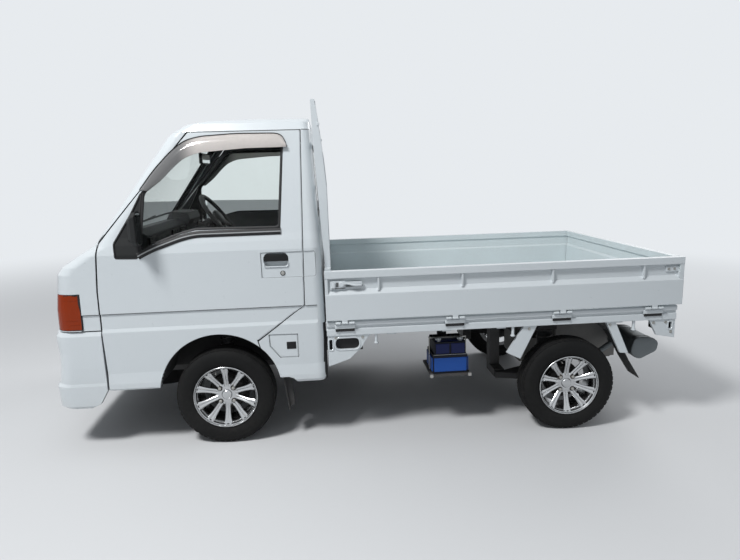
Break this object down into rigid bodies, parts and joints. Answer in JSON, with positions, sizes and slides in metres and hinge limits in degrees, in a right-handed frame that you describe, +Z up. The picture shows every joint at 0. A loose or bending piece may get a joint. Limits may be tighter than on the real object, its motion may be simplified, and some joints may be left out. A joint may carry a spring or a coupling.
{
  "type": "small cab-over flatbed truck",
  "caption": "Small cab-over flatbed truck with opening doors, drop gates, a guard frame, linked steering and turning wheels.",
  "frame": {"origin": "middle of the truck's outline, on the ground its tyres stand on", "axes": "+X forward, +Y to the truck's left, +Z up; the body stands 1.34 degrees nose down on its wheels"},
  "size_m": [3.386, 1.672, 1.7953],
  "materials": {
    "paint": "white body paint",
    "paint_under": "black chassis paint",
    "glass": "clear safety glass",
    "smoked": "smoked acrylic",
    "lamp_clear": "clear lamp lens",
    "lamp_amber": "amber lamp lens",
    "lamp_red": "red lamp lens",
    "black_plastic": "moulded black plastic",
    "grey_plastic": "grained grey plastic",
    "seat": "grey vinyl seat cover",
    "alloy": "silver painted alloy",
    "tyre": "road tyre",
    "rubber": "rubber flap",
    "iron": "cast and forged iron",
    "steel": "aluminised steel",
    "battery": "blue battery case"
  },
  "bodies": {
    "chassis": {"ladder_frame": "paint_under", "cab_floor": "paint", "cab_back_panel": "paint", "rear_quarters": "paint", "roof_panel": "paint", "front_panel": "paint", "corner_lamps": "lamp_amber", "headlights": "lamp_clear", "cab_windows": "glass", "front_bumper": "paint", "dashboard": "grey_plastic", "steering_column": "black_plastic", "seats": "seat", "cab_controls": "black_plastic", "suspension": "iron", "rack_housing": "iron", "spare_wheel": "tyre", "bed_floor": "paint", "headboard": "paint", "bed_brackets": "paint", "mud_flaps": "rubber", "battery": "battery", "fuel_tank": "paint_under", "engine_block": "iron", "exhaust": "steel", "radiator": "steel", "tail_lamps": "lamp_red"},
    "door_left": {"door_left": "paint", "door_glass_left": "glass", "door_visor_left": "smoked", "mirror_left": "black_plastic"},
    "door_right": {"door_right": "paint", "door_glass_right": "glass", "door_visor_right": "smoked", "mirror_right": "black_plastic"},
    "steering_wheel": {"steering_wheel": "black_plastic"},
    "steering_rack": {"steering_rack": "steel"},
    "knuckle_left": {"knuckle_left": "iron"},
    "knuckle_right": {"knuckle_right": "iron"},
    "wheel_front_left": {"rim_front_left": "alloy", "tyre_front_left": "tyre"},
    "wheel_front_right": {"rim_front_right": "alloy", "tyre_front_right": "tyre"},
    "wheel_rear_left": {"rim_rear_left": "alloy", "tyre_rear_left": "tyre"},
    "wheel_rear_right": {"rim_rear_right": "alloy", "tyre_rear_right": "tyre"},
    "side_gate_left": {"side_gate_left": "paint"},
    "side_gate_right": {"side_gate_right": "paint"},
    "tailgate": {"tailgate": "paint"},
    "fuel_door": {"fuel_door": "paint"}
  },
  "joints": [
    {"name": "door_left_hinge", "type": "hinge", "parent": "chassis", "child": "door_left", "pos_m": [1.34593, 0.714, 0.68714], "axis": [-0.0234, 0, -0.9997], "range_deg": [0, 65]},
    {"name": "door_right_hinge", "type": "hinge", "parent": "chassis", "child": "door_right", "pos_m": [1.34593, -0.714, 0.68714], "axis": [0.0234, 0, 0.9997], "range_deg": [0, 65]},
    {"name": "steering_wheel_turn", "type": "hinge", "parent": "chassis", "child": "steering_wheel", "pos_m": [0.96544, -0.33, 1.14116], "axis": [-0.7951, 0, 0.6065], "range_deg": [-576, 576]},
    {"name": "kingpin_left", "type": "hinge", "parent": "chassis", "child": "knuckle_left", "pos_m": [0.79083, 0.575, 0.262], "axis": [0.0229, -0.2079, 0.9779], "range_deg": [-35, 35]},
    {"name": "kingpin_right", "type": "hinge", "parent": "chassis", "child": "knuckle_right", "pos_m": [0.79083, -0.575, 0.262], "axis": [0.0229, 0.2079, 0.9779], "range_deg": [-35, 35]},
    {"name": "rack_slide", "type": "slide", "parent": "chassis", "child": "steering_rack", "axis": [0, 1, 0], "range_m": [-0.0535, 0.0535]},
    {"name": "wheel_front_left_spin", "type": "hinge", "parent": "knuckle_left", "child": "wheel_front_left", "pos_m": [0.79083, 0.6425, 0.262], "axis": [0, 1, 0], "continuous": true},
    {"name": "wheel_front_right_spin", "type": "hinge", "parent": "knuckle_right", "child": "wheel_front_right", "pos_m": [0.79083, -0.6425, 0.262], "axis": [0, 1, 0], "continuous": true},
    {"name": "wheel_rear_left_spin", "type": "hinge", "parent": "chassis", "child": "wheel_rear_left", "pos_m": [-1.09468, 0.645, 0.26201], "axis": [0, 1, 0], "continuous": true},
    {"name": "wheel_rear_right_spin", "type": "hinge", "parent": "chassis", "child": "wheel_rear_right", "pos_m": [-1.09468, -0.645, 0.26201], "axis": [0, 1, 0], "continuous": true},
    {"name": "side_gate_left_hinge", "type": "hinge", "parent": "chassis", "child": "side_gate_left", "pos_m": [-0.6998, 0.735, 0.67997], "axis": [-0.9997, 0, 0.0234], "range_deg": [0, 175]},
    {"name": "side_gate_right_hinge", "type": "hinge", "parent": "chassis", "child": "side_gate_right", "pos_m": [-0.6998, -0.735, 0.67997], "axis": [0.9997, 0, -0.0234], "range_deg": [0, 175]},
    {"name": "tailgate_hinge", "type": "hinge", "parent": "chassis", "child": "tailgate", "pos_m": [-1.68653, 0, 0.70305], "axis": [0, -1, 0], "range_deg": [0, 175]},
    {"name": "fuel_door_hinge", "type": "hinge", "parent": "chassis", "child": "fuel_door", "pos_m": [0.53717, 0.72, 0.53601], "axis": [-0.0234, 0, -0.9997], "range_deg": [0, 100]}
  ],
  "couplings": [
    {"joint": "kingpin_left", "follows": "steering_wheel_turn", "ratio": 0.0607},
    {"joint": "kingpin_right", "follows": "steering_wheel_turn", "ratio": 0.0607},
    {"joint": "rack_slide", "follows": "steering_wheel_turn", "m_per_rad": 0.00531}
  ]
}
